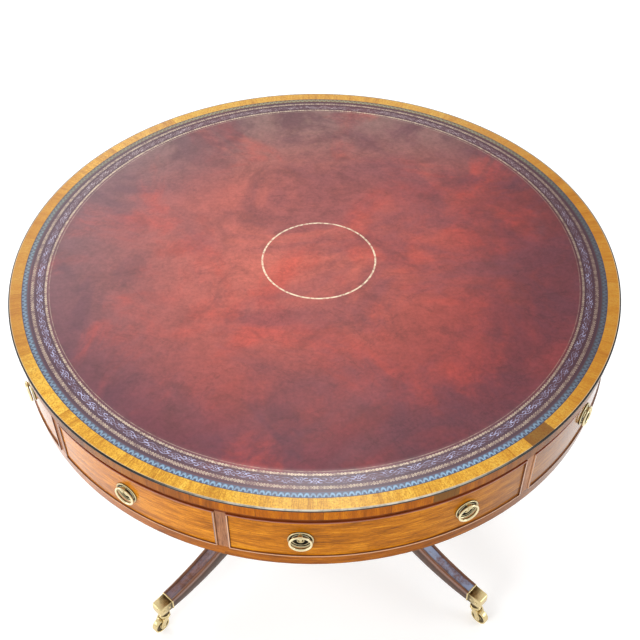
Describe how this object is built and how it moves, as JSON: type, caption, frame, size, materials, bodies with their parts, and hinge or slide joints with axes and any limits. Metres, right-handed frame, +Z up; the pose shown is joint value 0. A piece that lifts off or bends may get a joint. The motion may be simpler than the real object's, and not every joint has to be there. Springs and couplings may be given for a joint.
{
  "type": "drum table",
  "caption": "Round leather-topped library table whose drawered drum turns on a turned column with splayed legs on brass castors.",
  "frame": {"origin": "on the floor under the centre of the round top", "axes": "+Z up, -Y the side that the picture is taken from, +X to its right; legs on the diagonals"},
  "size_m": [1.152, 1.152, 0.76],
  "materials": {
    "mahogany": "french polished",
    "dark_mahogany": "french polished",
    "stile_wood": "french polished",
    "crossbanding": "french polished",
    "ebonised": "polished",
    "oak": "plain",
    "leather": "gilt tooled, worn",
    "brass": "patinated",
    "iron": "dark"
  },
  "bodies": {
    "pedestal": {"column": "dark_mahogany", "bearer_board": "dark_mahogany", "pivot_pin": "iron", "leg_right_front": "dark_mahogany", "leg_right_back": "dark_mahogany", "leg_left_back": "dark_mahogany", "leg_left_front": "dark_mahogany", "toe_caps": "brass"},
    "drum": {"top_board": "mahogany", "writing_leather": "leather", "top_crossbanding": "crossbanding", "edge_bead": "ebonised", "upper_board": "mahogany", "drum_floor": "mahogany", "stiles": "stile_wood", "partitions": "oak", "drawer_stops": "oak", "pivot_hub": "oak", "dummy_fronts": "mahogany", "dummy_cock_beads": "mahogany", "dummy_ring_plates": "brass"},
    "drawer_1": {"drawer_1_front": "mahogany", "drawer_1_cock_beads": "mahogany", "drawer_1_carcase": "oak", "drawer_1_ring_plate": "brass"},
    "drawer_1_ring": {"drawer_1_ring": "brass"},
    "drawer_2": {"drawer_2_front": "mahogany", "drawer_2_cock_beads": "mahogany", "drawer_2_carcase": "oak", "drawer_2_ring_plate": "brass"},
    "drawer_2_ring": {"drawer_2_ring": "brass"},
    "drawer_3": {"drawer_3_front": "mahogany", "drawer_3_cock_beads": "mahogany", "drawer_3_carcase": "oak", "drawer_3_ring_plate": "brass"},
    "drawer_3_ring": {"drawer_3_ring": "brass"},
    "drawer_4": {"drawer_4_front": "mahogany", "drawer_4_cock_beads": "mahogany", "drawer_4_carcase": "oak", "drawer_4_ring_plate": "brass"},
    "drawer_4_ring": {"drawer_4_ring": "brass"},
    "dummy_1_left_ring": {"dummy_1_left_ring": "brass"},
    "dummy_1_right_ring": {"dummy_1_right_ring": "brass"},
    "dummy_2_left_ring": {"dummy_2_left_ring": "brass"},
    "dummy_2_right_ring": {"dummy_2_right_ring": "brass"},
    "dummy_3_left_ring": {"dummy_3_left_ring": "brass"},
    "dummy_3_right_ring": {"dummy_3_right_ring": "brass"},
    "dummy_4_left_ring": {"dummy_4_left_ring": "brass"},
    "dummy_4_right_ring": {"dummy_4_right_ring": "brass"},
    "castor_right_front": {"castor_fork_right_front": "brass"},
    "wheel_right_front": {"castor_wheel_right_front": "brass"},
    "castor_right_back": {"castor_fork_right_back": "brass"},
    "wheel_right_back": {"castor_wheel_right_back": "brass"},
    "castor_left_back": {"castor_fork_left_back": "brass"},
    "wheel_left_back": {"castor_wheel_left_back": "brass"},
    "castor_left_front": {"castor_fork_left_front": "brass"},
    "wheel_left_front": {"castor_wheel_left_front": "brass"}
  },
  "joints": [
    {"name": "drum_turn", "type": "hinge", "parent": "pedestal", "child": "drum", "pos_m": [0, 0, 0.598], "axis": [0, 0, 1], "continuous": true},
    {"name": "drawer_1_slide", "type": "slide", "parent": "drum", "child": "drawer_1", "axis": [-0.5678, -0.8231, 0], "range_m": [0, 0.27]},
    {"name": "drawer_1_ring_swing", "type": "hinge", "parent": "drawer_1", "child": "drawer_1_ring", "pos_m": [-0.32537, -0.47166, 0.6855], "axis": [-0.8231, 0.5678, 0], "range_deg": [-2.5, 160]},
    {"name": "drawer_2_slide", "type": "slide", "parent": "drum", "child": "drawer_2", "axis": [0.8231, -0.5678, 0], "range_m": [0, 0.27]},
    {"name": "drawer_2_ring_swing", "type": "hinge", "parent": "drawer_2", "child": "drawer_2_ring", "pos_m": [0.47166, -0.32537, 0.6855], "axis": [-0.5678, -0.8231, 0], "range_deg": [-2.5, 160]},
    {"name": "drawer_3_slide", "type": "slide", "parent": "drum", "child": "drawer_3", "axis": [0.5678, 0.8231, 0], "range_m": [0, 0.27]},
    {"name": "drawer_3_ring_swing", "type": "hinge", "parent": "drawer_3", "child": "drawer_3_ring", "pos_m": [0.32537, 0.47166, 0.6855], "axis": [0.8231, -0.5678, 0], "range_deg": [-2.5, 160]},
    {"name": "drawer_4_slide", "type": "slide", "parent": "drum", "child": "drawer_4", "axis": [-0.8231, 0.5678, 0], "range_m": [0, 0.27]},
    {"name": "drawer_4_ring_swing", "type": "hinge", "parent": "drawer_4", "child": "drawer_4_ring", "pos_m": [-0.47166, 0.32537, 0.6855], "axis": [0.5678, 0.8231, 0], "range_deg": [-2.5, 160]},
    {"name": "dummy_1_left_ring_swing", "type": "hinge", "parent": "drum", "child": "dummy_1_left_ring", "pos_m": [-0.03648, -0.57184, 0.6855], "axis": [-0.998, 0.0637, 0], "range_deg": [-2.5, 160]},
    {"name": "dummy_1_right_ring_swing", "type": "hinge", "parent": "drum", "child": "dummy_1_right_ring", "pos_m": [0.23716, -0.52162, 0.6855], "axis": [-0.9103, -0.4139, 0], "range_deg": [-2.5, 160]},
    {"name": "dummy_2_left_ring_swing", "type": "hinge", "parent": "drum", "child": "dummy_2_left_ring", "pos_m": [0.57184, -0.03648, 0.6855], "axis": [-0.0637, -0.998, 0], "range_deg": [-2.5, 160]},
    {"name": "dummy_2_right_ring_swing", "type": "hinge", "parent": "drum", "child": "dummy_2_right_ring", "pos_m": [0.52162, 0.23716, 0.6855], "axis": [0.4139, -0.9103, 0], "range_deg": [-2.5, 160]},
    {"name": "dummy_3_left_ring_swing", "type": "hinge", "parent": "drum", "child": "dummy_3_left_ring", "pos_m": [0.03648, 0.57184, 0.6855], "axis": [0.998, -0.0637, 0], "range_deg": [-2.5, 160]},
    {"name": "dummy_3_right_ring_swing", "type": "hinge", "parent": "drum", "child": "dummy_3_right_ring", "pos_m": [-0.23716, 0.52162, 0.6855], "axis": [0.9103, 0.4139, 0], "range_deg": [-2.5, 160]},
    {"name": "dummy_4_left_ring_swing", "type": "hinge", "parent": "drum", "child": "dummy_4_left_ring", "pos_m": [-0.57184, 0.03648, 0.6855], "axis": [0.0637, 0.998, 0], "range_deg": [-2.5, 160]},
    {"name": "dummy_4_right_ring_swing", "type": "hinge", "parent": "drum", "child": "dummy_4_right_ring", "pos_m": [-0.52162, -0.23716, 0.6855], "axis": [-0.4139, 0.9103, 0], "range_deg": [-2.5, 160]},
    {"name": "castor_swivel_right_front", "type": "hinge", "parent": "pedestal", "child": "castor_right_front", "pos_m": [0.338, -0.338, 0.046], "axis": [0, 0, 1], "continuous": true},
    {"name": "castor_roll_right_front", "type": "hinge", "parent": "castor_right_front", "child": "wheel_right_front", "pos_m": [0.3479, -0.3479, 0.019], "axis": [0.7071, 0.7071, 0], "continuous": true},
    {"name": "castor_swivel_right_back", "type": "hinge", "parent": "pedestal", "child": "castor_right_back", "pos_m": [0.338, 0.338, 0.046], "axis": [0, 0, 1], "continuous": true},
    {"name": "castor_roll_right_back", "type": "hinge", "parent": "castor_right_back", "child": "wheel_right_back", "pos_m": [0.3479, 0.3479, 0.019], "axis": [-0.7071, 0.7071, 0], "continuous": true},
    {"name": "castor_swivel_left_back", "type": "hinge", "parent": "pedestal", "child": "castor_left_back", "pos_m": [-0.338, 0.338, 0.046], "axis": [0, 0, 1], "continuous": true},
    {"name": "castor_roll_left_back", "type": "hinge", "parent": "castor_left_back", "child": "wheel_left_back", "pos_m": [-0.3479, 0.3479, 0.019], "axis": [-0.7071, -0.7071, 0], "continuous": true},
    {"name": "castor_swivel_left_front", "type": "hinge", "parent": "pedestal", "child": "castor_left_front", "pos_m": [-0.338, -0.338, 0.046], "axis": [0, 0, 1], "continuous": true},
    {"name": "castor_roll_left_front", "type": "hinge", "parent": "castor_left_front", "child": "wheel_left_front", "pos_m": [-0.3479, -0.3479, 0.019], "axis": [0.7071, -0.7071, 0], "continuous": true}
  ]
}
